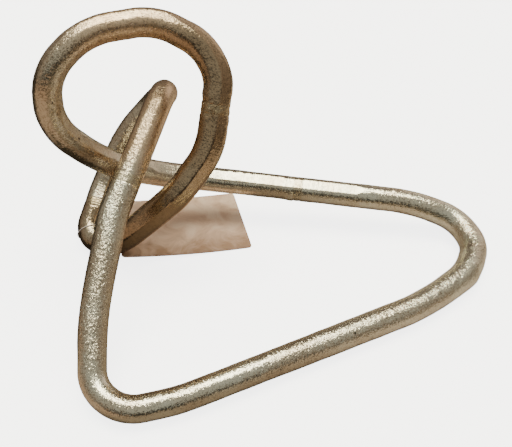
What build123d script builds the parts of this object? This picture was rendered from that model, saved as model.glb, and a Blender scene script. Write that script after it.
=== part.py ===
from build123d import *
import math
import os

# Cast aluminium rod knot, in millimetres, +Z up.
# The rod is one closed trefoil: four castings butt together on straight stretches, and a weld
# ring fills the groove at each butt. A card tag hangs from the rod on a nylon loop.
# The origin is the centre of the knot's footprint, on the surface that it stands on, and the
# long floor side runs from the near left corner to the bend at the right.

# Rod and its route: the centre line's reach from side to side, front to back and upwards
rod_diameter = 17.0
route_width = 262.0
route_depth = 186.0
route_height = 142.0
foot_flat_depth = 0.4

# Welds: a V groove all round each butt, filled and slightly crowned
weld_depth = 2.6
weld_width = 5.6
weld_crown = 0.35

# Card tag, with its eyelet at the end that is tied
tag_length = 87.0
tag_width = 59.0
tag_thickness = 0.5
tag_corner_radius = 2.5
tag_hole_diameter = 4.0
tag_hole_margin = 5.5
tag_lifted_end = 4.5
tag_yaw = 12.0

# Nylon loop and the snap head that closes it
thread_diameter = 0.7
thread_fold_radius = 2.2
thread_clearance = 0.3
thread_reach = 23.7
thread_yaw = 17.5
lock_length = 5.0
lock_diameter = 2.6
lock_flange_diameter = 3.4
lock_flange_length = 1.2

# How far the eyelet's cutter stands out past the card
overrun = 5.0

# The route's corners, in order along the rod, each as shares of the route's width, depth and
# height, and last the share of the shorter run beside it that its bend takes up.
casting_route_shares = {
    "base_casting": [
        (0.137, 0.500, 0.385, 0.30),
        (0.107, 0.235, 0.165, 0.46),
        (0.115, 0.060, 0.015, 0.46),
        (0.185, -0.010, 0.000, 0.46),
        (0.290, 0.025, 0.000, 0.46),
        (0.845, 0.395, 0.000, 0.46),
        (0.970, 0.540, 0.000, 0.46),
        (1.010, 0.680, 0.000, 0.46),
        (0.975, 0.795, 0.025, 0.46),
        (0.860, 0.830, 0.095, 0.46),
    ],
    "ring_casting": [
        (0.320, 0.920, 0.145, 0.46),
        (0.205, 0.870, 0.225, 0.46),
        (0.095, 0.760, 0.395, 0.46),
        (-0.005, 0.715, 0.625, 0.46),
        (0.005, 0.720, 0.870, 0.46),
        (0.090, 0.800, 1.000, 0.46),
        (0.235, 0.885, 0.995, 0.46),
        (0.335, 0.865, 0.900, 0.46),
        (0.373, 0.814, 0.790, 0.46),
    ],
    "lower_bend_casting": [
        (0.349, 0.695, 0.530, 0.46),
        (0.276, 0.622, 0.370, 0.46),
        (0.203, 0.613, 0.245, 0.46),
        (0.135, 0.625, 0.112, 0.46),
        (0.080, 0.684, 0.000, 0.46),
        (0.037, 0.714, 0.000, 0.46),
        (0.025, 0.758, 0.018, 0.46),
    ],
    "hairpin_casting": [
        (0.053, 0.895, 0.125, 0.40),
        (0.120, 0.990, 0.345, 0.46),
        (0.195, 1.005, 0.500, 0.46),
        (0.235, 0.955, 0.605, 0.46),
        (0.235, 0.850, 0.670, 0.46),
    ],
}

# Each weld's place, as a share of the straight run from the casting before it to the next
weld_place_shares = {
    "weld_back_run": 0.55,
    "weld_ring_right": 0.44,
    "weld_back_leg": 0.52,
    "weld_front_leg": 0.72,
}

rod_radius = rod_diameter / 2
floor_to_route = rod_radius - foot_flat_depth

# The thread pulls on the near side of the eyelet, so the eyelet's centre is this far beyond it
eyelet_slack = (tag_hole_diameter - thread_diameter) / 2 - thread_clearance


def route_point(shares):
    """A corner of the route, from its shares."""
    return Vector(shares[0] * route_width, shares[1] * route_depth, shares[2] * route_height + floor_to_route)


def bend(before, corner, after, bend_share):
    """The start, middle and finish of the arc that rounds a corner."""
    way_in = (corner - before).normalized()
    way_out = (after - corner).normalized()
    half_turn = math.radians(way_in.get_angle(way_out)) / 2
    setback = bend_share * min((corner - before).length, (after - corner).length)
    radius = setback / math.tan(half_turn)
    inwards = (way_out - way_in).normalized()
    middle = corner + inwards * (radius / math.cos(half_turn) - radius)
    return corner - way_in * setback, middle, corner + way_out * setback


def rounded_path(points, bend_shares):
    """Straight runs joined by tangent arcs, through a list of points."""
    edges = []
    here = points[0]
    for before, corner, after, bend_share in zip(points, points[1:], points[2:], bend_shares):
        start, middle, finish = bend(before, corner, after, bend_share)
        edges.append(Edge.make_line(here, start))
        edges.append(Edge.make_three_point_arc(start, middle, finish))
        here = finish
    edges.append(Edge.make_line(here, points[-1]))
    return Wire(edges)


def tube(path, diameter):
    """A round bar swept along a path."""
    start = Plane(origin=path @ 0, z_dir=path % 0)
    return sweep(start * Circle(diameter / 2), path=path)


def weld_ring(place):
    """The metal that fills the V groove round a butt, with a low crown."""
    half_width = weld_width / 2
    groove = Polyline((rod_radius, 0, half_width), (rod_radius - weld_depth, 0, 0), (rod_radius, 0, -half_width))
    crown = ThreePointArc(
        (rod_radius, 0, -half_width), (rod_radius + weld_crown, 0, 0), (rod_radius, 0, half_width))
    profile = make_face(groove.edges() + crown.edges())
    return place.location * revolve(profile, axis=Axis.Z)


def build_rod():
    """The four castings, ground flat where they stand, and the four weld rings.

    They are still on the route's own corner."""
    names = list(casting_route_shares)
    welds = list(weld_place_shares)
    planes = {}
    for name, following, weld in zip(names, names[1:] + names[:1], welds):
        before = route_point(casting_route_shares[name][-1])
        after = route_point(casting_route_shares[following][0])
        place = before + (after - before) * weld_place_shares[weld]
        planes[weld] = Plane(origin=place, z_dir=(after - before).normalized())
    pieces = {weld: weld_ring(planes[weld]) for weld in welds}
    for index, name in enumerate(names):
        first, last = welds[index - 1], welds[index]
        corners = casting_route_shares[name]
        points = [planes[first].origin] + [route_point(corner) for corner in corners] + [planes[last].origin]
        bar = tube(rounded_path(points, [corner[3] for corner in corners]), rod_diameter)
        pieces[name] = split(bar - pieces[first] - pieces[last], bisect_by=Plane.XY, keep=Keep.TOP)
    return pieces, planes


def turn_plane():
    """The loop's plane, across the rod at the middle of the low turn.

    Its X points level, the way the tag is pulled, and its Y upwards."""
    start, finish = [route_point(corner) for corner in casting_route_shares["lower_bend_casting"][-2:]]
    yaw = math.radians(thread_yaw)
    level = Vector(math.cos(yaw), math.sin(yaw), 0)
    along = finish - start
    return Plane(origin=(start + finish) / 2, x_dir=level, z_dir=level * along.dot(level) - along)


def tag_plane(loop):
    """The card's underside, and where the thread goes through it, thread_reach from the rod.

    The card's X runs from the tied end to the far end, which lies on the floor."""
    slope = math.asin(tag_lifted_end / tag_length)
    yaw = math.radians(tag_yaw)
    length_way = Vector(math.cos(yaw) * math.cos(slope), math.sin(yaw) * math.cos(slope), -math.sin(slope))
    width_way = Vector(-math.sin(yaw), math.cos(yaw), 0)
    tied = tag_hole_margin - eyelet_slack
    climb = ((tag_length - tied) * math.sin(slope) - loop.origin.Z) / loop.y_dir.Z
    pull = loop.origin + loop.x_dir * thread_reach + loop.y_dir * climb
    corner = pull - length_way * tied - width_way * tag_width / 2
    return Plane(origin=corner, x_dir=length_way, z_dir=length_way.cross(width_way)), pull


def build_tag(card):
    """The card, with rounded corners and a punched eyelet."""
    blank = Location((tag_length / 2, tag_width / 2, 0)) * Box(
        tag_length, tag_width, tag_thickness, align=(Align.CENTER, Align.CENTER, Align.MIN))
    blank = fillet(blank.edges().filter_by(Axis.Z), tag_corner_radius)
    eyelet = Location((tag_hole_margin, tag_width / 2, 0)) * Cylinder(tag_hole_diameter / 2, tag_thickness + overrun)
    return card.location * (blank - eyelet)


def loop_shape(loop, pull):
    """The two circles that the drawn loop runs round, and its tangent angles, in the loop's plane.

    The large circle goes round the rod and the small one is the fold through the eyelet."""
    wrap = rod_radius + thread_clearance + thread_diameter / 2
    fold_middle = loop.to_local_coords(pull) - Vector(thread_fold_radius, 0, 0)
    fold_middle = Vector(fold_middle.X, fold_middle.Y, 0)
    lean = math.asin((wrap - thread_fold_radius) / fold_middle.length)
    towards = math.atan2(fold_middle.Y, fold_middle.X)
    upper = towards + math.pi / 2 - lean
    lower = towards - math.pi / 2 + lean
    return wrap, fold_middle, upper, lower


def at_angle(radius, angle, middle=Vector(0, 0, 0)):
    return middle + Vector(radius * math.cos(angle), radius * math.sin(angle), 0)


def build_loop(loop, pull):
    """The nylon loop, from one end of its snap head round to the other, and the head itself."""
    wrap, fold_middle, upper, lower = loop_shape(loop, pull)
    rod_top, rod_foot = at_angle(wrap, upper), at_angle(wrap, lower)
    fold_top = at_angle(thread_fold_radius, upper, fold_middle)
    fold_foot = at_angle(thread_fold_radius, lower, fold_middle)
    fold_tip = at_angle(thread_fold_radius, (upper + lower) / 2, fold_middle)
    rod_back = at_angle(wrap, (upper + lower) / 2 + math.pi)
    leg_way = (fold_top - rod_top).normalized()
    lock_start = rod_top + leg_way * ((fold_top - rod_top).length - lock_length) / 2
    lock_finish = lock_start + leg_way * lock_length
    line = Wire([
        Edge.make_line(lock_finish, fold_top),
        Edge.make_three_point_arc(fold_top, fold_tip, fold_foot),
        Edge.make_line(fold_foot, rod_foot),
        Edge.make_three_point_arc(rod_foot, rod_back, rod_top),
        Edge.make_line(rod_top, lock_start),
    ])
    thread = loop.location * tube(line, thread_diameter)
    seat = Plane(origin=lock_start, z_dir=leg_way)
    barrel = Cylinder(lock_diameter / 2, lock_length, align=(Align.CENTER, Align.CENTER, Align.MIN))
    flange = Cylinder(lock_flange_diameter / 2, lock_flange_length, align=(Align.CENTER, Align.CENTER, Align.MIN))
    lock = loop.location * seat.location * (barrel + flange)
    print("thread length", round(line.length, 1), "mm, radii", wrap, "and", thread_fold_radius)
    return thread, lock


def main():
    pieces, weld_planes = build_rod()
    knot = Compound(list(pieces.values())).bounding_box()
    loop = turn_plane()
    card, pull = tag_plane(loop)
    pieces["hang_tag"] = build_tag(card)
    pieces["tag_thread"], pieces["thread_lock"] = build_loop(loop, pull)
    centre = Location((-knot.center().X, -knot.center().Y, 0))
    os.makedirs("parts", exist_ok=True)
    for name, piece in pieces.items():
        export_step(piece.moved(centre), os.path.join("parts", name + ".step"))
    print("loop centre", loop.origin + centre.position, "and axis", loop.z_dir)
    print("thread through the card at", pull + centre.position)


main()
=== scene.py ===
import math

import bmesh
import bpy
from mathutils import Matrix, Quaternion, Vector, noise


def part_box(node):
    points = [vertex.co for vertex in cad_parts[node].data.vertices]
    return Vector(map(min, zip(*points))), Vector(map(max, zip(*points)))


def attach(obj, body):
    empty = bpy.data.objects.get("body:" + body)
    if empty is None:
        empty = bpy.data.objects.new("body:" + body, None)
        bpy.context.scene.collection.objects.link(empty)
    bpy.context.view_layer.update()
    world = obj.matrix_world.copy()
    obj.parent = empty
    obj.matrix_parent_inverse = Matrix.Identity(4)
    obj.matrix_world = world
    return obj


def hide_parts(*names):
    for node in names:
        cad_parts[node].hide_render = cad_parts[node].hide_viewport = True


# Cast rod knot with a card tag on a nylon loop. Metres, +Z up, standing on z = 0.

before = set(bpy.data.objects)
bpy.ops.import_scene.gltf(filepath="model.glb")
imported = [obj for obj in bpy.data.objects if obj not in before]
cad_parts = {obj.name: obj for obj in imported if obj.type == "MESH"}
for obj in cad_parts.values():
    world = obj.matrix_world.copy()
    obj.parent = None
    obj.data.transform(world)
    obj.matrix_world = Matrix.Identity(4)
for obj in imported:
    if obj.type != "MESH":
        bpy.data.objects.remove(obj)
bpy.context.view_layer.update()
print("frame loaded:", len(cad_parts), "nodes")

mm = 0.001

# The photograph's view: from the front, looking down
view = {
    "place": (-0.0122, -0.3070, 0.3335), "tilt": 48.0,
    "lens": 49.8, "sensor": 36.0, "nearest": 0.01, "farthest": 20.0,
}

cameraData = bpy.data.cameras.new("camera")
cameraData.lens = view["lens"]
cameraData.sensor_width = view["sensor"]
cameraData.clip_start = view["nearest"]
cameraData.clip_end = view["farthest"]
camera = bpy.data.objects.new("camera", cameraData)
camera.location = view["place"]
camera.rotation_euler = (math.radians(view["tilt"]), 0, 0)
bpy.context.scene.collection.objects.link(camera)
bpy.context.scene.camera = camera
print("camera placed")


def linear(code):
    # sRGB hex to linear colour
    parts = [int(code[i:i + 2], 16) / 255 for i in (0, 2, 4)]
    return [p / 12.92 if p <= 0.04045 else ((p + 0.055) / 1.055) ** 2.4 for p in parts] + [1.0]


def feed(tree, node, inputs):
    # an input is a value, a socket to link from, or a node, whose first output in use is linked
    for name, value in inputs.items():
        if isinstance(value, bpy.types.Node):
            value = next(socket for socket in value.outputs if socket.enabled)
        if isinstance(value, bpy.types.NodeSocket):
            tree.links.new(value, node.inputs[name])
        else:
            node.inputs[name].default_value = value


def addNode(tree, kind, settings=None, inputs=None):
    # settings are the node's own properties
    node = tree.nodes.new(kind)
    for name, value in (settings or {}).items():
        setattr(node, name, value)
    feed(tree, node, inputs or {})
    return node


def setRamp(node, stops):
    ramp = node.color_ramp
    while len(ramp.elements) < len(stops):
        ramp.elements.new(0.5)
    for element, (position, code) in zip(ramp.elements, stops):
        element.position = position
        element.color = linear(code)
    return node


def newMaterial(name):
    material = bpy.data.materials.new(name)
    material.use_nodes = True
    return material, material.node_tree, material.node_tree.nodes["Principled BSDF"]


def finishPiece(bm, name, material, body, node):
    # a smooth mesh that rides on its body and stands for its CAD node
    for face in bm.faces:
        face.smooth = True
    mesh = bpy.data.meshes.new(name)
    bm.to_mesh(mesh)
    bm.free()
    mesh.materials.append(material)
    piece = bpy.data.objects.new(name, mesh)
    bpy.context.scene.collection.objects.link(piece)
    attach(piece, body)
    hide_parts(node)
    return piece


# How far each finish shows at each point of the rod
maskNames = ("ground", "hammered", "stainAndReflectionShare", "warmLightShare")

# Cast aluminium, sand cast and then lacquered pale gold: grainy highlights, brown in the hollows
castFinish = {
    "pale": "E6E3D4",       # lacquer over bright metal
    "warm": "D9CDBA",       # where the lacquer is thicker
    "warmLightPink": "EDC49C",       # pink tint that paints warmer light on the ring's top and the hairpin
    "stainAndReflectionBrown": "A98A68",      # browner lacquer round the lower bend and the ring's right; its light share on the ring's left is a painted floor reflection
    "grime": "5C5347",      # what lies in the hollows and the pits
    "grain": 0.95 * mm,     # sand grain
    "coarse": 2.2 * mm,     # hammered skin
    "patch": 22 * mm,       # slow change of tint
    "hatch": 1.1 * mm,      # grinding marks across the rod
    "hatchWidth": 0.06,     # their width as a share of their length
    "pit": 9 * mm,          # spacing of the gas pits
    "pitRadius": 0.085,     # of the widest pit, as a share of the spacing
    # where grime lies: in the low parts of a field, within a mask
    "grimy": (
        {"field": "grain", "from": 0.34, "to": 0.47, "within": "grainy", "amount": 0.55},
        {"field": "coarse", "from": 0.36, "to": 0.47, "within": "stainAndReflectionShare", "amount": 0.35},
    ),
    "roughness": (0.12, 0.20),
    "polish": 0.08,         # how much glossier the ground metal is
    "satin": 0.22,          # how much duller the metal is where the warmer light is painted
    "relief": 0.15 * mm,    # height of the grain
    # height of each layer over the grain, as a multiple of the grain's own
    "layers": (
        {"field": "coarse", "within": "hammered", "height": 3.0},
        {"field": "coarse", "within": None, "height": 1.0},
        {"field": "pits", "within": None, "height": -2.5},
        {"field": "hatch", "within": "ground", "height": 3.0},
    ),
    "facet": 0.52 * mm,     # facets of the grain
    "facetTilt": 2.0,
    "hammeredTilt": 0.5,    # what the hammered skin adds to it
    "calmed": {"stainAndReflectionShare": 0.45, "warmLightShare": 0.5},  # share of the tilt left under each tint
}


def castFields(tree, finish):
    # what the colour, the gloss and the relief are worked out from
    place = addNode(tree, "ShaderNodeTexCoord").outputs["Object"]
    fields = {"place": place}
    for mask in maskNames:
        fields[mask] = addNode(tree, "ShaderNodeAttribute", {"attribute_name": mask}).outputs["Fac"]
    for name, detail, roughness in (("grain", 1.0, 0.5), ("coarse", 4.0, 0.6), ("patch", 3.0, 0.6)):
        fields[name] = addNode(tree, "ShaderNodeTexNoise", None, {
            "Vector": place, "Scale": 1 / finish[name], "Detail": detail, "Roughness": roughness})

    # grinding marks are fine along the rod and long round it
    rodMap = addNode(tree, "ShaderNodeUVMap", {"uv_map": "rodMap"})
    stretched = addNode(tree, "ShaderNodeMapping", None, {
        "Vector": rodMap, "Scale": (1 / finish["hatch"], finish["hatchWidth"] / finish["hatch"], 1)})
    fields["hatch"] = addNode(tree, "ShaderNodeTexNoise", None, {
        "Vector": stretched, "Scale": 1.0, "Detail": 3.0, "Roughness": 0.65})

    # a pit lies at the middle of some cells, each as wide as its cell's own colour says
    cells = addNode(tree, "ShaderNodeTexVoronoi", None, {"Vector": place, "Scale": 1 / finish["pit"]})
    cellColour = addNode(tree, "ShaderNodeSeparateColor", None, {"Color": cells.outputs["Color"]})
    pitRadius = addNode(tree, "ShaderNodeMapRange", None, {
        "Value": cellColour.outputs["Red"], "From Min": 0.35, "From Max": 1.0,
        "To Min": 0.0, "To Max": finish["pitRadius"]})
    fields["pits"] = addNode(tree, "ShaderNodeMath", {"operation": "LESS_THAN"}, {
        0: cells.outputs["Distance"], 1: pitRadius})

    # the grain is gone where the rod is ground, and is weaker in some patches
    unground = addNode(tree, "ShaderNodeMath", {"operation": "SUBTRACT", "use_clamp": True}, {
        0: 1.0, 1: fields["ground"]})
    strength = addNode(tree, "ShaderNodeMapRange", None, {
        "Value": fields["patch"], "From Min": 0.35, "From Max": 0.7, "To Min": 0.5, "To Max": 1.0})
    fields["grainy"] = addNode(tree, "ShaderNodeMath", {"operation": "MULTIPLY"}, {
        0: unground, 1: strength})
    return fields


def castColour(tree, finish, fields):
    tint = addNode(tree, "ShaderNodeMapRange", None, {
        "Value": fields["patch"], "From Min": 0.38, "From Max": 0.66})
    colour = addNode(tree, "ShaderNodeMix", {"data_type": "RGBA"}, {
        "Factor": tint, "A": linear(finish["pale"]), "B": linear(finish["warm"])})
    # the pink paints warmer light on the ring's top and the hairpin; the brown is a stain, and on the
    # ring's left a painted floor reflection
    for mask, tintName in (("warmLightShare", "warmLightPink"), ("stainAndReflectionShare", "stainAndReflectionBrown")):
        colour = addNode(tree, "ShaderNodeMix", {"data_type": "RGBA"}, {
            "Factor": fields[mask], "A": colour, "B": linear(finish[tintName])})
    grime = fields["pits"]
    for hollow in finish["grimy"]:
        low = addNode(tree, "ShaderNodeMapRange", None, {
            "Value": fields[hollow["field"]], "From Min": hollow["from"], "From Max": hollow["to"],
            "To Min": 1.0, "To Max": 0.0})
        within = addNode(tree, "ShaderNodeMath", {"operation": "MULTIPLY"}, {
            0: low, 1: fields[hollow["within"]]})
        grime = addNode(tree, "ShaderNodeMath", {"operation": "MULTIPLY_ADD", "use_clamp": True}, {
            0: within, 1: hollow["amount"], 2: grime})
    return addNode(tree, "ShaderNodeMix", {"data_type": "RGBA"}, {
        "Factor": grime, "A": colour, "B": linear(finish["grime"])})


def castRoughness(tree, finish, fields):
    roughness = addNode(tree, "ShaderNodeMapRange", None, {
        "Value": fields["coarse"], "From Min": 0.3, "From Max": 0.7,
        "To Min": finish["roughness"][0], "To Max": finish["roughness"][1]})
    for mask, change in (("ground", -finish["polish"]), ("warmLightShare", finish["satin"])):
        roughness = addNode(tree, "ShaderNodeMath", {"operation": "MULTIPLY_ADD"}, {
            0: fields[mask], 1: change, 2: roughness})
    return roughness


def castHeight(tree, finish, fields):
    height = addNode(tree, "ShaderNodeMath", {"operation": "MULTIPLY"}, {
        0: fields["grain"], 1: fields["grainy"]})
    for layer in finish["layers"]:
        shown = fields[layer["field"]]
        if layer["within"]:
            shown = addNode(tree, "ShaderNodeMath", {"operation": "MULTIPLY"}, {
                0: shown, 1: fields[layer["within"]]})
        height = addNode(tree, "ShaderNodeMath", {"operation": "MULTIPLY_ADD"}, {
            0: shown, 1: layer["height"], 2: height})
    return height


def facetNormal(tree, finish, fields):
    # each facet tilts its own way: cubed, so that most tilt a little and a few of them far
    cells = addNode(tree, "ShaderNodeTexVoronoi", None, {
        "Vector": fields["place"], "Scale": 1 / finish["facet"]})
    lean = addNode(tree, "ShaderNodeVectorMath", {"operation": "SUBTRACT"}, {
        0: cells.outputs["Color"], 1: (0.5, 0.5, 0.5)})
    tilt = lean
    for power in (2, 3):
        tilt = addNode(tree, "ShaderNodeVectorMath", {"operation": "MULTIPLY"}, {0: tilt, 1: lean})
    share = addNode(tree, "ShaderNodeMath", {"operation": "MULTIPLY"}, {
        0: fields["grainy"], 1: finish["facetTilt"]})
    share = addNode(tree, "ShaderNodeMath", {"operation": "MULTIPLY_ADD"}, {
        0: fields["hammered"], 1: finish["hammeredTilt"], 2: share})
    for mask, left in finish["calmed"].items():
        calm = addNode(tree, "ShaderNodeMapRange", None, {
            "Value": fields[mask], "To Min": 1.0, "To Max": left})
        share = addNode(tree, "ShaderNodeMath", {"operation": "MULTIPLY"}, {0: share, 1: calm})
    tilt = addNode(tree, "ShaderNodeVectorMath", {"operation": "SCALE"}, {0: tilt, "Scale": share})
    smooth = addNode(tree, "ShaderNodeNewGeometry").outputs["Normal"]
    tilted = addNode(tree, "ShaderNodeVectorMath", {"operation": "ADD"}, {0: smooth, 1: tilt})
    return addNode(tree, "ShaderNodeVectorMath", {"operation": "NORMALIZE"}, {0: tilted})


def makeCastMetal(name, finish):
    material, tree, shader = newMaterial(name)
    fields = castFields(tree, finish)
    bump = addNode(tree, "ShaderNodeBump", None, {
        "Height": castHeight(tree, finish, fields), "Strength": 1.0, "Distance": finish["relief"],
        "Normal": facetNormal(tree, finish, fields)})
    feed(tree, shader, {
        "Base Color": castColour(tree, finish, fields), "Metallic": 1.0,
        "Roughness": castRoughness(tree, finish, fields), "Normal": bump})
    return material


castMetal = makeCastMetal("sandCastAluminiumPaleGold", castFinish)

# Dressed weld: the same lacquer over torn and ground metal, so browner and rougher
weldFinish = dict(castFinish, pale="DDD5C0", warm="C4B599", coarse=1.8 * mm, roughness=(0.2, 0.34))
weldMetal = makeCastMetal("dressedWeldPaleGold", weldFinish)
print("metals made")

# The round rod, and the V groove round each butt that a weld fills
rod = {"radius": 8.5 * mm, "step": 1.0 * mm, "arcStep": 0.8 * mm, "segments": 56}
groove = {"depth": 2.6 * mm, "halfWidth": 2.8 * mm}
shownSide = Vector((0, -0.743, 0.669))  # towards the photograph's view

# The casting's own unevenness, with heights in mm
castWaves = (
    {"height": 0.16, "size": 14 * mm, "shift": Vector((0, 0, 0))},
    {"height": 0.07, "size": 4.5 * mm, "shift": Vector((7, 3, 1))},
)

# Scars beside the welds: fine gouges over coarse ones, cut more than they are raised
scarShape = {"fineSize": 0.4, "fineHeight": 0.5, "sunk": 0.15}

# Lumps and scars end at this many of their own lengths
longestReach = 2.5


def nodeCentre(node):
    low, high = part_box(node)
    return (low + high) / 2


def roundedRoute(points, shares):
    # straight runs joined by tangent arcs, as close points
    line = [points[0]]
    for before, corner, after, share in zip(points, points[1:], points[2:], shares):
        wayIn = (corner - before).normalized()
        wayOut = (after - corner).normalized()
        half = wayIn.angle(wayOut) / 2
        setback = share * min((corner - before).length, (after - corner).length)
        radius = setback / math.tan(half)
        inwards = (wayOut - wayIn).normalized()
        middle = corner + inwards * (radius / math.cos(half))
        axis = wayIn.cross(wayOut).normalized()
        spoke = corner - wayIn * setback - middle
        turns = max(4, int(half * 2 * radius / rod["arcStep"]))
        line += [middle + Quaternion(axis, half * 2 * i / turns) @ spoke for i in range(turns + 1)]
    return line + [points[-1]]


def stations(line, step):
    # evenly spaced places along a line, with the direction at each
    lengths = [0.0]
    for a, b in zip(line, line[1:]):
        lengths.append(lengths[-1] + (b - a).length)
    count = max(2, round(lengths[-1] / step))
    found = []
    index = 0
    for i in range(count + 1):
        wanted = lengths[-1] * i / count
        while index < len(lengths) - 2 and lengths[index + 1] < wanted:
            index += 1
        share = (wanted - lengths[index]) / max(lengths[index + 1] - lengths[index], 1e-9)
        found.append((wanted, line[index].lerp(line[index + 1], share)))
    route = []
    for i, (along, place) in enumerate(found):
        way = (found[min(i + 2, count)][1] - found[max(i - 2, 0)][1]).normalized()
        route.append((along, place, way))
    return route


def smoothStep(low, high, value):
    share = min(1.0, max(0.0, (value - low) / (high - low)))
    return share * share * (3 - 2 * share)


def sweepRings(bm, route, radii):
    # one circle is drawn out along the route, ring by ring, without twisting
    for name in maskNames:
        bm.verts.layers.float.new(name)
    first = bmesh.ops.create_circle(bm, segments=rod["segments"], radius=1.0)["verts"]
    turn = Vector((0, 0, 1)).rotation_difference(route[0][2])
    for vert in first:
        vert.co = turn @ vert.co
    rings = [first]
    edges = list({edge for vert in first for edge in vert.link_edges})
    for before, here in zip(route, route[1:]):
        drawn = bmesh.ops.extrude_edge_only(bm, edges=edges)["geom"]
        edges = [item for item in drawn if isinstance(item, bmesh.types.BMEdge)]
        fresh = {item for item in drawn if isinstance(item, bmesh.types.BMVert)}
        turn = before[2].rotation_difference(here[2])
        ring = []
        for vert in rings[-1]:
            ends = [edge.other_vert(vert) for edge in vert.link_edges]
            following = next(end for end in ends if end in fresh)
            following.co = turn @ vert.co
            ring.append(following)
        rings.append(ring)
    spokes = [[vert.co.copy() for vert in ring] for ring in rings]
    for ring, spokeRow, (along, place, way), radius in zip(rings, spokes, route, radii):
        for vert, spoke in zip(ring, spokeRow):
            vert.co = place + spoke * radius
    return rings, spokes


def mapRod(bm, rings, route):
    # the rod's own map: U along it and V round it, both in metres
    layer = bm.loops.layers.uv.new("rodMap")
    where = {}
    for ring, (along, place, way) in zip(rings, route):
        for index, vert in enumerate(ring):
            where[vert] = (along, index)
    for face in bm.faces:
        indexes = [where[loop.vert][1] for loop in face.loops]
        wraps = max(indexes) - min(indexes) > rod["segments"] / 2
        for loop in face.loops:
            along, index = where[loop.vert]
            if wraps and index < rod["segments"] / 2:
                index += rod["segments"]
            loop[layer].uv = (along, index / rod["segments"] * math.tau * rod["radius"])


def flatWay(flat, way):
    # a flat faces a fixed way, or is turned about the rod from the side that the photograph shows
    if "towards" in flat:
        towards = Vector(flat["towards"])
        return (towards - way * towards.dot(way)).normalized()
    shown = (shownSide - way * shownSide.dot(way)).normalized()
    return Quaternion(way, math.radians(flat["turn"])) @ shown


def castRise(point):
    # the same on a rod and on the weld beside it
    return mm * sum(wave["height"] * noise.noise(point / wave["size"] + wave["shift"])
                    for wave in castWaves)


def scarRise(scar, point):
    # gouges and torn metal beside a weld
    size = scar["size"] * mm
    waves = noise.noise(point / size)
    waves += scarShape["fineHeight"] * noise.noise(point / (size * scarShape["fineSize"]))
    return scar["height"] * mm * (waves - scarShape["sunk"])


def lumpRise(lump, spoke):
    facing = max(0.0, spoke.dot(Vector(lump["towards"]).normalized()))
    return lump["height"] * mm * facing ** lump["tight"]


def near(features, here):
    # the lumps or scars that reach this place, each with its share there
    found = []
    for feature in features:
        reach = (here - feature["at"]) / feature["length"]
        if abs(reach) < longestReach:
            found.append((feature, math.exp(-reach * reach)))
    return found


def flatShare(flat, here):
    # a flat runs out within its ends
    begun = smoothStep(flat["start"], flat["start"] + flat["fade"], here)
    return begun * (1 - smoothStep(flat["end"] - flat["fade"], flat["end"], here))


def markShare(mark, here):
    # a mark fades out on both sides of its ends
    begun = smoothStep(mark["start"] - mark["fade"], mark["start"] + mark["fade"], here)
    return begun * (1 - smoothStep(mark["end"] - mark["fade"], mark["end"] + mark["fade"], here))


def shapeRod(bm, rings, spokes, route, piece, girthAt):
    # girth, unevenness, flats and marks, all placed in mm along the piece
    layers = {name: bm.verts.layers.float[name] for name in maskNames}
    for ring, spokeRow, (along, place, way) in zip(rings, spokes, route):
        here = along / mm
        girth = girthAt(along)
        lumps = near(piece["lumps"], here)
        scars = near(piece["scars"], here)
        flats = [(flat, flatShare(flat, here), flatWay(flat, way)) for flat in piece["flats"]]
        for vert, spoke in zip(ring, spokeRow):
            radius = (vert.co - place).length * girth
            point = place + spoke * radius
            radius += castRise(point)
            radius += sum(lumpRise(lump, spoke) * share for lump, share in lumps)
            radius += sum(scarRise(scar, point) * share for scar, share in scars)
            for flat, share, towards in flats:
                facing = spoke.dot(towards)
                limit = rod["radius"] * girth * (1 - flat["depth"] * share)
                if share > 0 and facing > 0 and radius * facing > limit:
                    radius = limit / facing
                    vert[layers["ground"]] = max(vert[layers["ground"]], flat["hatch"] * share)
            for mark in piece["marks"]:
                shown = markShare(mark, here) * mark["amount"]
                vert[layers[mark["kind"]]] = max(vert[layers[mark["kind"]]], shown)
            vert.co = place + spoke * radius
            vert.co.z = max(vert.co.z, 0.0)  # ground flat where it stands


def makeCasting(piece):
    corners = [Vector(corner[:3]) for corner in piece["corners"]]
    points = [nodeCentre(piece["from"])] + corners + [nodeCentre(piece["to"])]
    route = stations(roundedRoute(points, [corner[3] for corner in piece["corners"]]), rod["step"])
    total = route[-1][0]

    # girth is given at the ends and the corners, and eased between them
    knots = [(0.0, piece["girth"][0])]
    for corner, girth in zip(corners, piece["girth"][1:]):
        nearest = min(route, key=lambda station: (station[1] - corner).length)
        knots.append((nearest[0], girth))
    knots.append((total, piece["girth"][-1]))

    def girthAt(along):
        for (a, low), (b, high) in zip(knots, knots[1:]):
            if along <= b:
                return low + (high - low) * smoothStep(a, b, along)
        return knots[-1][1]

    # the ends run down into the weld's groove
    radii = []
    for along, place, way in route:
        inside = min(along, total - along)
        down = groove["depth"] * max(0.0, 1 - inside / groove["halfWidth"])
        radii.append(rod["radius"] - down)
    bm = bmesh.new()
    rings, spokes = sweepRings(bm, route, radii)
    mapRod(bm, rings, route)
    shapeRod(bm, rings, spokes, route, piece, girthAt)
    for ring in (rings[0], rings[-1]):
        bm.faces.new(ring)
    bmesh.ops.recalc_face_normals(bm, faces=bm.faces)
    finishPiece(bm, piece["name"], castMetal, "knot", piece["node"])
    print(piece["name"], "made,", round(total / mm), "mm of rod")


# The castings. A corner is a place on the rod's centre line, and the share of the shorter run
# beside it that its bend takes up. Girth is given at the start, at each corner and at the end, as a
# share of the rod's own. Flats, lumps, scars and marks are placed in mm along the piece.

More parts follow.
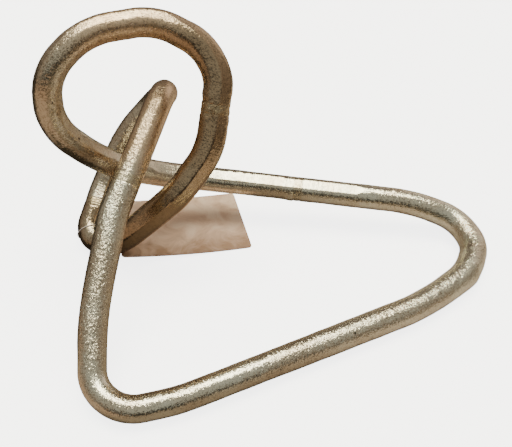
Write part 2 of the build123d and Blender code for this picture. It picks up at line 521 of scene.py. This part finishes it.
# Base: down the front leg, round the near left corner, along the floor and round the right bend
baseCasting = {
    "name": "baseRod", "node": "base_casting", "from": "weld_front_leg", "to": "weld_back_run",
    "corners": [
        (-0.0952, -0.0001, 0.0628, 0.30),
        (-0.1031, -0.0493, 0.0315, 0.46),
        (-0.1010, -0.0819, 0.0102, 0.46),
        (-0.0827, -0.0949, 0.0081, 0.46),
        (-0.0551, -0.0884, 0.0081, 0.46),
        (0.0903, -0.0196, 0.0081, 0.46),
        (0.1230, 0.0074, 0.0081, 0.46),
        (0.1335, 0.0334, 0.0081, 0.46),
        (0.1243, 0.0548, 0.0117, 0.46),
        (0.0942, 0.0613, 0.0216, 0.46),
    ],
    "girth": [1.0, 1.02, 0.98, 0.93, 0.90, 0.90, 1.0, 1.035, 1.035, 1.0, 0.98, 0.97],
    "flats": [
        {"start": 118, "end": 146, "fade": 6, "towards": (-0.55, -0.8, -0.1), "depth": 0.045, "hatch": 0.3},
        {"start": 484, "end": 560, "fade": 9, "turn": 26, "depth": 0.12, "hatch": 0.9},
        {"start": -20, "end": 26, "fade": 10, "turn": 10, "depth": 0.05, "hatch": 0},
    ],
    "lumps": [
        {"at": 368, "length": 4, "towards": (0.85, -0.5, 0), "height": 0.7, "tight": 6},
        {"at": 372, "length": 3, "towards": (0.5, -0.3, 0.8), "height": 0.3, "tight": 6},
    ],
    "scars": [],
    "marks": [
        {"kind": "hammered", "start": 4, "end": 110, "fade": 16, "amount": 1.0},
        {"kind": "hammered", "start": -40, "end": 20, "fade": 12, "amount": 0.4},
        {"kind": "hammered", "start": 210, "end": 440, "fade": 20, "amount": 0.5},
    ],
}

# Ring: the back run, the left of the ring, its top and its right
ringCasting = {
    "name": "ringRod", "node": "ring_casting", "from": "weld_back_run", "to": "weld_ring_right",
    "corners": [
        (-0.0473, 0.0781, 0.0287, 0.46),
        (-0.0774, 0.0688, 0.0400, 0.46),
        (-0.1062, 0.0483, 0.0642, 0.46),
        (-0.1324, 0.0399, 0.0968, 0.46),
        (-0.1298, 0.0409, 0.1316, 0.46),
        (-0.1075, 0.0557, 0.1501, 0.46),
        (-0.0696, 0.0716, 0.1494, 0.46),
        (-0.0434, 0.0678, 0.1359, 0.46),
        (-0.0334, 0.0584, 0.1203, 0.46),
    ],
    "girth": [0.97, 1.0, 1.01, 1.005, 1.005, 0.98, 0.965, 0.99, 1.02, 1.035, 1.045],
    "flats": [
        {"start": -20, "end": 112, "fade": 10, "turn": 26, "depth": 0.12, "hatch": 0.9},
        {"start": 128, "end": 190, "fade": 8, "towards": (0.55, -0.25, 0.8), "depth": 0.08, "hatch": 1.0},
        {"start": 200, "end": 240, "fade": 7, "towards": (-0.62, -0.3, 0.72), "depth": 0.055, "hatch": 0},
        {"start": 222, "end": 300, "fade": 10, "turn": -23, "depth": 0.045, "hatch": 0},
        {"start": 290, "end": 330, "fade": 8, "turn": -50, "depth": 0.06, "hatch": 0},
        {"start": 300, "end": 380, "fade": 12, "turn": -38, "depth": 0.08, "hatch": 0.1},
        {"start": 304, "end": 380, "fade": 12, "turn": 6, "depth": 0.06, "hatch": 0},
    ],
    "lumps": [
        {"at": 4, "length": 3, "towards": (0, -0.6, -0.6), "height": 0.5, "tight": 4},
        {"at": 352, "length": 3, "towards": (-1, -0.2, 0), "height": -0.9, "tight": 3},
        {"at": 344, "length": 4, "towards": (-0.6, -0.6, 0), "height": 0.5, "tight": 4},
    ],
    "scars": [
        {"at": 352, "length": 9, "height": 0.75, "size": 4.0},
        {"at": 0, "length": 4, "height": 0.3, "size": 3.0},
    ],
    "marks": [
        {"kind": "hammered", "start": 196, "end": 345, "fade": 14, "amount": 0.3},
        # painted warmer light on the ring's top
        {"kind": "warmLightShare", "start": 236, "end": 300, "fade": 14, "amount": 0.6},
        # painted brown floor reflection on the end of the back run and the ring's left
        {"kind": "stainAndReflectionShare", "start": 60, "end": 232, "fade": 16, "amount": 0.15},
        {"kind": "stainAndReflectionShare", "start": 296, "end": 380, "fade": 14, "amount": 0.75},
        {"kind": "hammered", "start": 341, "end": 380, "fade": 6, "amount": 1.0},
    ],
}

# Lower bend: from the ring down to the floor, round the low turn and up to the back leg
lowerBendCasting = {
    "name": "lowerBendRod", "node": "lower_bend_casting", "from": "weld_ring_right", "to": "weld_back_leg",
    "corners": [
        (-0.0397, 0.0362, 0.0834, 0.46),
        (-0.0588, 0.0226, 0.0606, 0.46),
        (-0.0779, 0.0210, 0.0429, 0.46),
        (-0.0958, 0.0232, 0.0240, 0.46),
        (-0.1102, 0.0342, 0.0081, 0.46),
        (-0.1214, 0.0398, 0.0081, 0.46),
        (-0.1246, 0.0479, 0.0107, 0.46),
    ],
    "girth": [1.045, 1.055, 1.045, 1.04, 1.035, 1.04, 1.04, 1.03, 1.02],
    "flats": [
        {"start": -20, "end": 130, "fade": 12, "turn": -38, "depth": 0.08, "hatch": 0.25},
        {"start": -20, "end": 118, "fade": 12, "turn": 6, "depth": 0.065, "hatch": 0},
    ],
    "lumps": [],
    "scars": [{"at": 0, "length": 8, "height": 0.7, "size": 4.0}],
    "marks": [
        {"kind": "hammered", "start": -20, "end": 9, "fade": 6, "amount": 1.0},
        {"kind": "stainAndReflectionShare", "start": -20, "end": 142, "fade": 8, "amount": 0.75},
        {"kind": "stainAndReflectionShare", "start": 142, "end": 200, "fade": 8, "amount": 0.6},
    ],
}

# Hairpin: the back leg, the tip and the front leg
hairpinCasting = {
    "name": "hairpinRod", "node": "hairpin_casting", "from": "weld_back_leg", "to": "weld_front_leg",
    "corners": [
        (-0.1172, 0.0734, 0.0259, 0.40),
        (-0.0997, 0.0911, 0.0571, 0.46),
        (-0.0800, 0.0939, 0.0791, 0.46),
        (-0.0696, 0.0846, 0.0940, 0.46),
        (-0.0696, 0.0650, 0.1032, 0.46),
    ],
    "girth": [1.01, 1.01, 1.0, 0.99, 0.98, 0.98, 1.0],
    "flats": [
        {"start": -8, "end": 46, "fade": 7, "towards": (0.05, -0.74, 0.67), "depth": 0.08, "hatch": 1.0},
        {"start": 104, "end": 210, "fade": 14, "turn": 6, "depth": 0.05, "hatch": 0},
    ],
    "lumps": [],
    "scars": [{"at": 46, "length": 4, "height": 0.35, "size": 3.0}],
    "marks": [
        # painted warmer light on the hairpin
        {"kind": "warmLightShare", "start": 96, "end": 172, "fade": 16, "amount": 0.6},
        {"kind": "hammered", "start": 100, "end": 240, "fade": 14, "amount": 0.4},
    ],
}

castings = (baseCasting, ringCasting, lowerBendCasting, hairpinCasting)
for piece in castings:
    makeCasting(piece)

# Welds: a lumpy bead that fills the groove and is dressed nearly flush, with a ragged edge
weldBeads = [
    {"name": "backRunBead", "node": "weld_back_run",
     "rise": 0.06, "lump": 0.30, "stainAndReflectionBrown": 0.1, "hammered": 0.0},
    {"name": "ringRightBead", "node": "weld_ring_right",
     "rise": 0.03, "lump": 0.35, "stainAndReflectionBrown": 0.7, "hammered": 1.0},
    {"name": "backLegBead", "node": "weld_back_leg",
     "rise": 0.08, "lump": 0.20, "stainAndReflectionBrown": 0.3, "hammered": 0.0},
    {"name": "frontLegBead", "node": "weld_front_leg",
     "rise": 0.03, "lump": 0.15, "stainAndReflectionBrown": 0.05, "hammered": 0.4},
]

# What the beads have in common, with rises in mm
beadShape = {
    "steps": 14,
    "halfLength": groove["halfWidth"] * 1.3,
    "rootLength": 0.04,     # at the groove's root, as a share of the length at the skin
    "ragged": 0.22, "raggedSize": 2.2 * mm,
    "lumpSize": 3.0 * mm, "fineLumpSize": 1.2 * mm, "fineLump": 0.5, "lumpSunk": 0.2,
    "edgeSunk": 0.10,       # its edges lie just under the rod's skin
    "flatRise": 0.12, "flatEdgeSunk": 0.14,
    "stainSize": 4 * mm, "stainShare": 0.6,
}


def weldRun(bead):
    # the straight run that the weld lies on: its direction, and the finishes beside the weld
    before = next(piece for piece in castings if piece["to"] == bead["node"])
    after = next(piece for piece in castings if piece["from"] == bead["node"])
    way = (Vector(after["corners"][0][:3]) - Vector(before["corners"][-1][:3])).normalized()
    return {
        "way": way, "girth": after["girth"][0],
        "flats": [(flat, flatWay(flat, way)) for flat in after["flats"] if flat["start"] < 0],
        "scars": [scar for scar in after["scars"] if scar["at"] < 3],
    }


def shapeBead(bm, rings, spokes, shares, bead, run, centre):
    layers = {name: bm.verts.layers.float[name] for name in maskNames}
    shape = beadShape
    for ring, spokeRow, share in zip(rings, spokes, shares):
        inside = 1 - abs(share) ** 3
        reach = run["way"] * shape["halfLength"] * share
        for vert, spoke in zip(ring, spokeRow):
            radius = rod["radius"] * run["girth"]
            edge = centre + spoke * radius
            ragged = noise.noise(edge / shape["raggedSize"] + Vector((3, 9, 4)) * (1 + share))
            place = centre + reach * (1 + shape["ragged"] * ragged)
            point = place + spoke * radius
            lumps = noise.noise(point / shape["lumpSize"] + Vector((5, 2, 8)))
            lumps += shape["fineLump"] * noise.noise(point / shape["fineLumpSize"])
            lumps -= shape["lumpSunk"]
            radius += castRise(point) + sum(scarRise(scar, point) for scar in run["scars"])
            radius += (bead["rise"] + bead["lump"] * lumps) * inside * mm
            radius -= shape["edgeSunk"] * (1 - inside) * mm
            for flat, towards in run["flats"]:
                facing = spoke.dot(towards)
                limit = rod["radius"] * run["girth"] * (1 - flat["depth"])
                limit += (shape["flatRise"] * inside - shape["flatEdgeSunk"] * (1 - inside)) * mm
                if facing > 0 and radius * facing > limit:
                    radius = limit / facing
                    vert[layers["ground"]] = flat["hatch"]
            stainAndReflectionBrown = shape["stainShare"] + noise.noise(point / shape["stainSize"])
            vert[layers["stainAndReflectionShare"]] = max(0.0, bead["stainAndReflectionBrown"] * stainAndReflectionBrown)
            vert[layers["hammered"]] = bead["hammered"]
            vert.co = place + spoke * radius
            vert.co.z = max(vert.co.z, 0.0)
    # the first and last rings close it at the groove's root
    for ring, spokeRow, share in ((rings[0], spokes[0], -1), (rings[-1], spokes[-1], 1)):
        for vert, spoke in zip(ring, spokeRow):
            vert.co = centre + run["way"] * shape["halfLength"] * share * shape["rootLength"]
            vert.co += spoke * (rod["radius"] - groove["depth"])
            vert.co.z = max(vert.co.z, 0.0)


def makeBead(bead):
    centre = nodeCentre(bead["node"])
    run = weldRun(bead)
    steps, half = beadShape["steps"], beadShape["halfLength"]
    shares = [-1.0] + [i / steps * 2 - 1 for i in range(steps + 1)] + [1.0]
    route = [(half * (1 + share), centre + run["way"] * half * share, run["way"]) for share in shares]
    bm = bmesh.new()
    rings, spokes = sweepRings(bm, route, [rod["radius"]] * len(route))
    mapRod(bm, rings, route)
    shapeBead(bm, rings, spokes, shares, bead, run, centre)
    bmesh.ops.bridge_loops(bm, edges=[edge for edge in bm.edges if edge.is_boundary])
    bmesh.ops.recalc_face_normals(bm, faces=bm.faces)
    finishPiece(bm, bead["name"], weldMetal, "knot", bead["node"])


for bead in weldBeads:
    makeBead(bead)
print("welds made:", len(weldBeads))

# Nylon monofilament, clear and glossy: a pale hair that takes the colours round it
nylonLook = {
    "tint": "FAF1EC", "cloud": "EADFD8", "cloudSize": 2 * mm,
    "roughness": 0.25, "ior": 1.53, "transmission": 0.15,
}


def makeNylon(look):
    material, tree, shader = newMaterial("clearNylonMonofilament")
    place = addNode(tree, "ShaderNodeTexCoord").outputs["Object"]
    cloud = addNode(tree, "ShaderNodeTexNoise", None, {"Vector": place, "Scale": 1 / look["cloudSize"]})
    tint = addNode(tree, "ShaderNodeMix", {"data_type": "RGBA"}, {
        "Factor": cloud, "A": linear(look["tint"]), "B": linear(look["cloud"])})
    feed(tree, shader, {
        "Base Color": tint, "Roughness": look["roughness"], "IOR": look["ior"],
        "Transmission Weight": look["transmission"]})
    return material


nylon = makeNylon(nylonLook)

# The loop's own plane, level and upwards, and its points there in mm, from the snap head through
# the card, under the rod, round it and back
threadLoop = {
    "centre": (-0.12300, 0.04385, 0.00938),
    "levelWay": (0.9537, 0.3007, 0.0),
    "upWay": (0.0843, -0.2674, 0.9599),
    "diameter": 0.0007,
    "length": 0.0771,
    "points": [
        (15.89, 0.82), (19.3, -1.32), (23.0, -3.5), (24.5, -5.6), (23.0, -7.4), (18.5, -7.75),
        (11.5, -8.3), (4.31, -8.84), (-2.91, -9.40), (-8.58, -4.83), (-9.56, 2.37), (-5.33, 8.28),
        (1.79, 9.68), (7.97, 5.80), (11.66, 3.48)],
}


def loopPoint(point):
    across, up = point
    return (Vector(threadLoop["centre"]) + Vector(threadLoop["levelWay"]) * across * mm
            + Vector(threadLoop["upWay"]) * up * mm)


threadCurve = bpy.data.curves.new("nylonLoop", "CURVE")
threadCurve.dimensions = "3D"
threadCurve.bevel_depth = threadLoop["diameter"] / 2
threadCurve.bevel_resolution = 3
threadCurve.resolution_u = 12
spline = threadCurve.splines.new("NURBS")
spline.points.add(len(threadLoop["points"]) - 1)
for controlPoint, place in zip(spline.points, threadLoop["points"]):
    controlPoint.co = (*loopPoint(place), 1.0)
spline.order_u = 3
spline.use_endpoint_u = True
threadCurve.materials.append(nylon)
thread = bpy.data.objects.new("nylonLoop", threadCurve)
bpy.context.scene.collection.objects.link(thread)
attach(thread, "thread_loop")
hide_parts("tag_thread")
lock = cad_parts["thread_lock"]
lock.data.materials.clear()
lock.data.materials.append(nylon)
print("nylon loop made")

# Brown kraft-style card, matt and mottled, with a darker band along its near edge
cardLook = {
    "mottle": 16 * mm,
    "tints": ((0.38, "EBD0B9"), (0.55, "D9B8A0"), (0.85, "A3826B")),
    "bandEdges": (0.006, 0.024),    # how far from the near edge it starts to fade, and is gone
    "bandShare": 0.28,
    "fibre": 0.5 * mm, "fibreHeight": 0.05 * mm, "fibreStrength": 0.25,
    "roughness": 0.72,
}


def makeCard(look):
    material, tree, shader = newMaterial("printedBrownCard")
    cardMap = addNode(tree, "ShaderNodeUVMap", {"uv_map": "cardMap"})
    mottle = addNode(tree, "ShaderNodeTexNoise", None, {
        "Vector": cardMap, "Scale": 1 / look["mottle"],
        "Detail": 5.0, "Roughness": 0.62, "Distortion": 0.8})
    fibre = addNode(tree, "ShaderNodeTexNoise", None, {
        "Vector": cardMap, "Scale": 1 / look["fibre"], "Detail": 2.0})
    side = addNode(tree, "ShaderNodeSeparateXYZ", None, {"Vector": cardMap})
    band = addNode(tree, "ShaderNodeMapRange", None, {
        "Value": side.outputs["Y"], "From Min": look["bandEdges"][0], "From Max": look["bandEdges"][1],
        "To Min": 1.0, "To Max": 0.0})
    shade = addNode(tree, "ShaderNodeMath", {"operation": "MULTIPLY_ADD", "use_clamp": True}, {
        0: band, 1: look["bandShare"], 2: mottle})
    tint = setRamp(addNode(tree, "ShaderNodeValToRGB", None, {"Fac": shade}), look["tints"])
    bump = addNode(tree, "ShaderNodeBump", None, {
        "Height": fibre, "Strength": look["fibreStrength"], "Distance": look["fibreHeight"]})
    feed(tree, shader, {"Base Color": tint, "Roughness": look["roughness"], "Normal": bump})
    return material


cardPaper = makeCard(cardLook)

# The card lies on its far half, and its tied end curls up towards the loop
tagCard = {
    "length": 87 * mm, "width": 59 * mm, "thickness": 0.45 * mm, "corner": 2.5 * mm,
    "hole": 2.0 * mm, "holeMargin": 5.5 * mm,
    "nearTied": (-0.0999, 0.0217, 0.0075), "nearFar": (-0.0148, 0.0390, 0.0),
    "farTied": (-0.1121, 0.0812, 0.0045), "farFar": (-0.0290, 0.0964, 0.0),
    "clearance": 0.1 * mm,  # from the floor to its underside
    "patch": 1.6,           # half the square that is left for the hole, as a share of its radius
    "lengthCuts": 44, "widthCuts": 14, "cornerCuts": 6, "patchCuts": 5, "holeSides": 24,
}


def cutCard(bm, tag, patch):
    # cut into a grid that bends well, with a square patch left whole for the punched hole
    start, middle = tag["holeMargin"] + patch, tag["width"] / 2
    across = [tag["holeMargin"] - patch, start]
    for i in range(1, tag["lengthCuts"]):
        across.append(start + (tag["length"] - start) * i / tag["lengthCuts"])
    rows = [(middle - patch) * i / tag["widthCuts"] for i in range(1, tag["widthCuts"])]
    upwards = [middle - patch, middle + patch] + rows + [middle + patch + row for row in rows]
    for places, way in ((across, Vector((1, 0, 0))), (upwards, Vector((0, 1, 0)))):
        for place in places:
            bmesh.ops.bisect_plane(bm, geom=[*bm.verts, *bm.edges, *bm.faces],
                                   plane_co=way * place, plane_no=way, dist=1e-7)


def punchCard(bm, tag, patch):
    # the square patch is taken out, and its sides are joined to a circle
    centre = Vector((tag["holeMargin"], tag["width"] / 2, 0))
    square = min(bm.faces, key=lambda face: (face.calc_center_median() - centre).length)
    sides = list(square.edges)
    bmesh.ops.delete(bm, geom=[square], context="FACES_ONLY")
    bmesh.ops.subdivide_edges(bm, edges=sides, cuts=tag["patchCuts"])
    cornerReach = patch * 1.5  # just past the square's corners
    squareEdges = [edge for edge in bm.edges if edge.is_boundary
                   and all((vert.co - centre).length < cornerReach for vert in edge.verts)]
    circle = bmesh.ops.create_circle(bm, segments=tag["holeSides"], radius=tag["hole"])["verts"]
    for vert in circle:
        vert.co += centre
    circleEdges = list({edge for vert in circle for edge in vert.link_edges})
    bmesh.ops.bridge_loops(bm, edges=squareEdges + circleEdges)


def layCard(bm, tag):
    # curled up at the tied end, most at its near corner
    for vert in bm.verts:
        along, side = vert.co.x / tag["length"], vert.co.y / tag["width"]
        nearSide = Vector(tag["nearTied"]).lerp(Vector(tag["nearFar"]), along)
        farSide = Vector(tag["farTied"]).lerp(Vector(tag["farFar"]), along)
        vert.co = nearSide.lerp(farSide, side)
        vert.co.z = vert.co.z * (1 - along) + tag["clearance"]


def makeTag(tag):
    bm = bmesh.new()
    bm.faces.new([bm.verts.new((x, y, 0)) for x, y in (
        (0, 0), (tag["length"], 0), (tag["length"], tag["width"]), (0, tag["width"]))])
    bmesh.ops.bevel(bm, geom=list(bm.verts), offset=tag["corner"], offset_type="OFFSET",
                    segments=tag["cornerCuts"], profile=0.5, affect="VERTICES", material=-1)
    patch = tag["hole"] * tag["patch"]
    cutCard(bm, tag, patch)
    punchCard(bm, tag, patch)
    layer = bm.loops.layers.uv.new("cardMap")
    for face in bm.faces:
        for loop in face.loops:
            loop[layer].uv = (loop.vert.co.x, loop.vert.co.y)
    layCard(bm, tag)
    bmesh.ops.recalc_face_normals(bm, faces=bm.faces)
    if sum(face.normal.z for face in bm.faces) < 0:
        bmesh.ops.reverse_faces(bm, faces=bm.faces)
    card = finishPiece(bm, "cardTag", cardPaper, "tag", "hang_tag")
    thicken = card.modifiers.new("thickness", "SOLIDIFY")
    thicken.thickness = tag["thickness"]
    thicken.offset = 1.0


makeTag(tagCard)
print("tag made")

# Studio floor: pale to the camera; in the metal it shows a painted tan reflection, darker far off and with
# a painted shadow beside the knot
studioFloor = {
    "size": 6.0, "roughness": 0.9, "seen": "F6F5F2", "lift": 4.0,
    "near": "7D7064", "far": "4A443B", "right": "B0A498", "left": "998577", "leftShadow": "2F2A24",
    # where each zone starts and is full, in metres sideways, backwards or away from the middle
    "fades": {
        # darker away from the knot: a painted falloff of light
        "far": ("away", 0.18, 0.60),
        "right": ("sideways", -0.01, 0.10),
        "left": ("sideways", -0.09, -0.12),
        "farLeft": ("sideways", -0.17, -0.22),
        "front": ("backwards", 0.06, -0.02),
        # the painted shadow beside and behind the knot
        "leftShadow": ("backwards", -0.07, -0.04),
    },
}


def floorInMetal(tree, floor):
    # the floor's painted reflection in the metal, zone by zone
    place = addNode(tree, "ShaderNodeTexCoord").outputs["Object"]
    away = addNode(tree, "ShaderNodeVectorMath", {"operation": "LENGTH"}, {0: place})
    parts = addNode(tree, "ShaderNodeSeparateXYZ", None, {"Vector": place})
    measures = {"away": away, "sideways": parts.outputs["X"], "backwards": parts.outputs["Y"]}
    fades = {}
    for name, (measure, start, finish) in floor["fades"].items():
        fades[name] = addNode(tree, "ShaderNodeMapRange", {"interpolation_type": "SMOOTHSTEP"}, {
            "Value": measures[measure], "From Min": start, "From Max": finish})
    # on the left a painted shadow lies close beside the knot and behind it, and the floor is light in front
    light = addNode(tree, "ShaderNodeMath", {"operation": "MULTIPLY"}, {
        0: fades["farLeft"], 1: fades["front"]})
    unlit = addNode(tree, "ShaderNodeMath", {"operation": "SUBTRACT"}, {0: 1.0, 1: light})
    shadowShare = addNode(tree, "ShaderNodeMath", {"operation": "MULTIPLY"}, {
        0: fades["leftShadow"], 1: unlit})
    leftTint = addNode(tree, "ShaderNodeMix", {"data_type": "RGBA"}, {
        "Factor": shadowShare, "A": linear(floor["left"]), "B": linear(floor["leftShadow"])})
    zones = {"right": linear(floor["right"]), "far": linear(floor["far"]), "left": leftTint}
    tint = linear(floor["near"])
    for name, zoneTint in zones.items():
        tint = addNode(tree, "ShaderNodeMix", {"data_type": "RGBA"}, {
            "Factor": fades[name], "A": tint, "B": zoneTint})
    return tint


def makeFloor(floor):
    material, tree, shader = newMaterial("studioFloor")
    cameraRay = addNode(tree, "ShaderNodeLightPath").outputs["Is Camera Ray"]
    tint = addNode(tree, "ShaderNodeMix", {"data_type": "RGBA"}, {
        "Factor": cameraRay, "A": floorInMetal(tree, floor), "B": linear(floor["seen"])})
    lift = addNode(tree, "ShaderNodeMath", {"operation": "MULTIPLY"}, {0: cameraRay, 1: floor["lift"]})
    feed(tree, shader, {
        "Base Color": tint, "Roughness": floor["roughness"], "Specular IOR Level": 0.0,
        "Emission Color": (1, 1, 1, 1), "Emission Strength": lift})
    bm = bmesh.new()
    bmesh.ops.create_grid(bm, x_segments=1, y_segments=1, size=floor["size"] / 2)
    mesh = bpy.data.meshes.new("studioFloor")
    bm.to_mesh(mesh)
    bm.free()
    mesh.materials.append(material)
    plane = bpy.data.objects.new("studioFloor", mesh)
    bpy.context.scene.collection.objects.link(plane)


makeFloor(studioFloor)

# A broad fill from above for the card and the floor, kept out of the metal
fillLamp = {"place": (0, 0, 1.5), "size": 2.0, "power": 15}
fillData = bpy.data.lights.new("fill", "AREA")
fillData.shape = "SQUARE"
fillData.size = fillLamp["size"]
fillData.energy = fillLamp["power"]
fill = bpy.data.objects.new("fill", fillData)
fill.location = fillLamp["place"]
fill.visible_glossy = False
fill.visible_camera = False
bpy.context.scene.collection.objects.link(fill)

# Studio room: dim and warm, with a broad overhead light and a window behind on the right
studioRoom = {
    # the walls by height: dark at the height of the table, lighter above
    "walls": ((0.0, "504B43"), (0.10, "302F29"), (0.31, "45413A"),
              (0.41, "A7A598"), (0.75, "B2B1A3"), (1.0, "B1AFA0")),
    "wallBack": "796F63", "backFade": (0.42, 0.68),
    "wallSides": "9E907E", "sideFade": (0.45, 0.95), "sideShare": 0.8,
    "window": (0.63, 0.75, 0.20), "windowTint": "F9E7D0", "windowFade": (0.86, 0.96),
    "overhead": (0.0, 0.21, 0.98), "overheadTint": "FBF6D8", "overheadStrength": 10.0,
    "overheadFade": (0.955, 0.988),
    "overheadSquash": (0.6, 1.0, 1.0),  # makes it longer from side to side
    "backdrop": "EFEEEB", "backdropStrength": 4.2,
}


def makeRoom(room):
    world = bpy.data.worlds.new("studioRoom")
    world.use_nodes = True
    bpy.context.scene.world = world
    tree = world.node_tree
    skyWay = addNode(tree, "ShaderNodeTexCoord").outputs["Generated"]
    parts = addNode(tree, "ShaderNodeSeparateXYZ", None, {"Vector": skyWay})
    sideness = addNode(tree, "ShaderNodeMath", {"operation": "ABSOLUTE"}, {0: parts.outputs["X"]})
    windowWay = addNode(tree, "ShaderNodeVectorMath", {"operation": "DOT_PRODUCT"}, {
        0: skyWay, 1: room["window"]})
    squashed = addNode(tree, "ShaderNodeVectorMath", {"operation": "MULTIPLY"}, {
        0: skyWay, 1: room["overheadSquash"]})
    squashed = addNode(tree, "ShaderNodeVectorMath", {"operation": "NORMALIZE"}, {0: squashed})
    lampWay = addNode(tree, "ShaderNodeVectorMath", {"operation": "DOT_PRODUCT"}, {
        0: squashed, 1: room["overhead"]})
    overhead = [part * room["overheadStrength"] for part in linear(room["overheadTint"])]
    # each part of the room is laid over what comes before it
    light = setRamp(addNode(tree, "ShaderNodeValToRGB", None, {"Fac": parts.outputs["Z"]}), room["walls"])
    for measure, fade, most, tint in (
            (parts.outputs["Y"], room["backFade"], 1.0, linear(room["wallBack"])),
            (sideness, room["sideFade"], room["sideShare"], linear(room["wallSides"])),
            (windowWay, room["windowFade"], 1.0, linear(room["windowTint"])),
            (lampWay, room["overheadFade"], 1.0, overhead)):
        share = addNode(tree, "ShaderNodeMapRange", {"interpolation_type": "SMOOTHSTEP"}, {
            "Value": measure, "From Min": fade[0], "From Max": fade[1], "To Max": most})
        light = addNode(tree, "ShaderNodeMix", {"data_type": "RGBA"}, {
            "Factor": share, "A": light, "B": tint})
    cameraRay = addNode(tree, "ShaderNodeLightPath").outputs["Is Camera Ray"]
    backdrop = [part * room["backdropStrength"] for part in linear(room["backdrop"])]
    seen = addNode(tree, "ShaderNodeMix", {"data_type": "RGBA"}, {
        "Factor": cameraRay, "A": light, "B": backdrop})
    feed(tree, tree.nodes["Background"], {"Color": seen})


makeRoom(studioRoom)
print("studio made")
